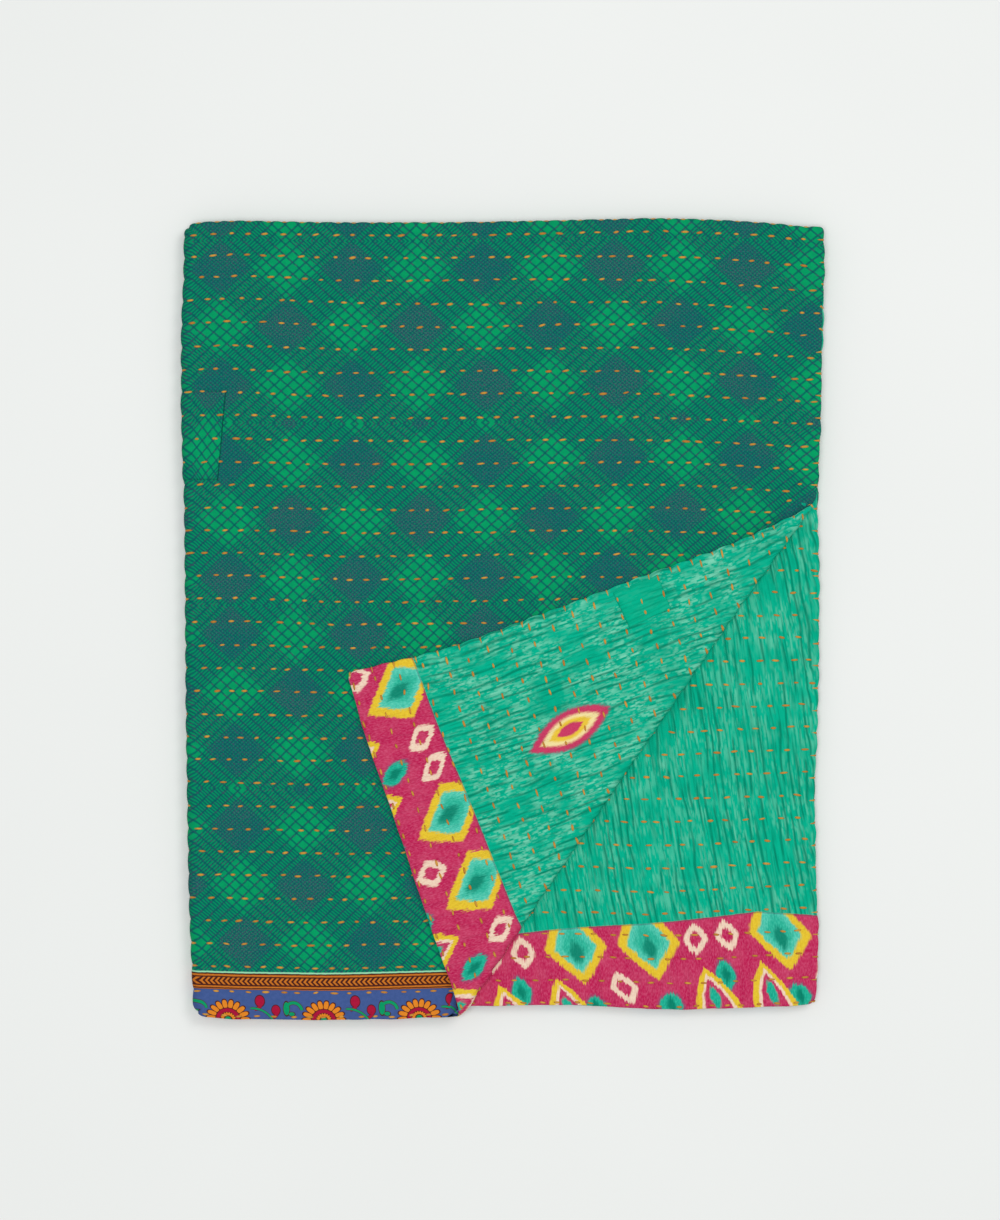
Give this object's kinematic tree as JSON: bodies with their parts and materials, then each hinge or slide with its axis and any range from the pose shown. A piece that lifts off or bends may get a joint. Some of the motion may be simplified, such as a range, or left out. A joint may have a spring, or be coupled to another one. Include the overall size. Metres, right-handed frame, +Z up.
{
  "type": "folded kantha quilt",
  "caption": "Hand-stitched cotton quilt folded in quarters, with one corner of the top layer turned back to show its reverse.",
  "frame": {"origin": "middle of the pile's bounding box, on the surface that it lies on", "axes": "+Z up from the surface, +Y along the pile's long side towards its top fold, +X from the left fold towards the free sides"},
  "size_m": [0.4986, 0.621, 0.0226],
  "materials": {
    "front_print": "washed printed cotton with running stitch",
    "reverse_print": "washed and crinkled printed cotton with running stitch",
    "patch_print": "washed printed cotton",
    "patch_plain": "washed plain cotton",
    "thread": "twisted cotton sewing thread"
  },
  "bodies": {
    "root": {"front_cloth": "front_print", "back_cloth": "reverse_print", "edge_patch": "patch_print", "back_patch": "patch_plain"}
  },
  "joints": []
}
